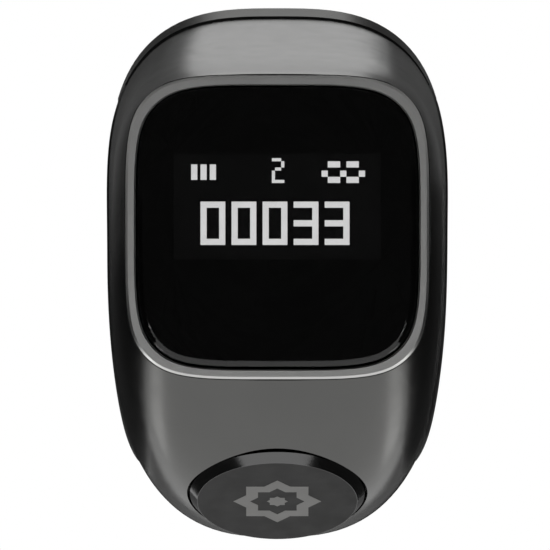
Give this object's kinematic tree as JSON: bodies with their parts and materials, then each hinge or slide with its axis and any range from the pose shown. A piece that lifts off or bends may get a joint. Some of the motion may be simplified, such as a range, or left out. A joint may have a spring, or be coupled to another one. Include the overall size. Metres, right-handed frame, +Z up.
{
  "type": "finger ring tally counter",
  "caption": "Finger-ring electronic tally counter: pebble-shaped metal head with a framed dark display window, a round thumb button on its lower curve and a tapering band.",
  "frame": {"origin": "centre of the finger bore", "axes": "+X along the finger bore, -Y out of the display, +Z up the display"},
  "size_m": [0.019, 0.0299, 0.0297],
  "materials": {
    "ring_metal": "satin gunmetal",
    "shell_metal": "satin gunmetal",
    "bezel_metal": "fine satin, lighter than the shell",
    "button_metal": "polished gunmetal",
    "button_face": "matte",
    "black_rubber": "matte",
    "window_glass": "polished",
    "black_film": "matte",
    "oled_glass": "polished",
    "silicon": "polished",
    "flex_film": "satin",
    "black_plastic": "matte",
    "board_laminate": "solder mask",
    "screw_steel": "bright",
    "chip_package": "matte",
    "can_metal": "bright",
    "ceramic_white": "matte",
    "ceramic_brown": "matte",
    "foam_tape": "matte",
    "battery_pouch": "satin foil",
    "nickel": "bright",
    "gold_plate": "plated",
    "white_plastic": "satin"
  },
  "bodies": {
    "case": {"ring_body": "ring_metal", "front_shell": "shell_metal", "case_seal": "black_rubber", "window_bezel": "bezel_metal", "display_window": "window_glass", "window_tape": "black_film", "oled_panel": "oled_glass", "oled_cap_glass": "oled_glass", "oled_driver_chip": "silicon", "oled_flex": "flex_film", "display_carrier": "black_plastic", "main_board": "board_laminate", "board_screws": "screw_steel", "controller_chip": "chip_package", "charger_chip": "chip_package", "crystal": "can_metal", "chip_antenna": "ceramic_white", "small_components": "ceramic_brown", "vibration_motor": "can_metal", "motor_pad": "foam_tape", "battery_cell": "battery_pouch", "battery_pad": "foam_tape", "battery_tabs": "nickel", "charging_contacts": "gold_plate", "contact_springs": "gold_plate", "button_seal": "black_rubber", "switch_body": "black_plastic", "switch_cover": "can_metal", "switch_dome": "can_metal", "switch_bracket": "screw_steel", "switch_flex": "flex_film"},
    "button": {"button_cap": "button_metal", "button_face": "button_face", "switch_plunger": "white_plastic"}
  },
  "joints": [
    {"name": "button_press", "type": "slide", "parent": "case", "child": "button", "axis": [0, 0.4848, 0.8746], "range_m": [0, 0.0003], "stiffness_N_per_m": 4000, "springref_m": -0.0001, "deforming": ["switch_dome"]}
  ]
}
